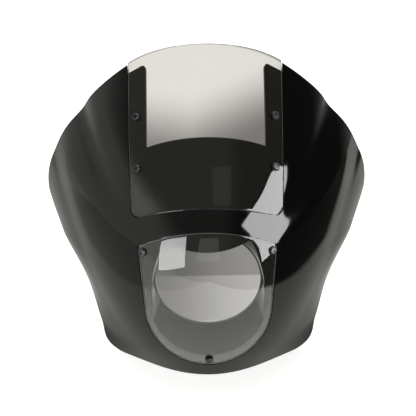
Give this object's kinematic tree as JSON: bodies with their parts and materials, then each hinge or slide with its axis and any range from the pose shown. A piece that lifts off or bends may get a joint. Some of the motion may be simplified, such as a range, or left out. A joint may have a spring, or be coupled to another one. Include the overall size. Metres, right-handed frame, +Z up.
{
  "type": "motorcycle headlight cowl",
  "caption": "Moulded motorcycle headlight cowl with side wings, a flush clear windscreen and a clear lens cover over a round headlight opening.",
  "frame": {"origin": "centre of the round headlight opening, in the plane of its plate's back face", "axes": "+X across the cowl towards the viewer's right as it is seen from the front, +Y rearwards along the headlight opening's axis, +Z up"},
  "size_m": [0.4872, 0.2448, 0.448],
  "materials": {
    "shell_plastic": "high gloss black",
    "screen_polycarbonate": "clear with a light smoke tint, polished edge",
    "lens_polycarbonate": "clear, polished edge",
    "screw_steel": "black oxide, slight sheen",
    "washer_nylon": "matt black",
    "washer_steel": "zinc plated",
    "nut_steel": "zinc plated"
  },
  "bodies": {
    "root": {"cowl_shell": "shell_plastic", "windscreen": "screen_polycarbonate", "lens_cover": "lens_polycarbonate", "windscreen_screws": "screw_steel", "windscreen_nylon_washers": "washer_nylon", "windscreen_steel_washers": "washer_steel", "windscreen_nuts": "nut_steel", "lens_screws": "screw_steel", "lens_nylon_washers": "washer_nylon", "lens_steel_washers": "washer_steel", "lens_nuts": "nut_steel"}
  },
  "joints": []
}
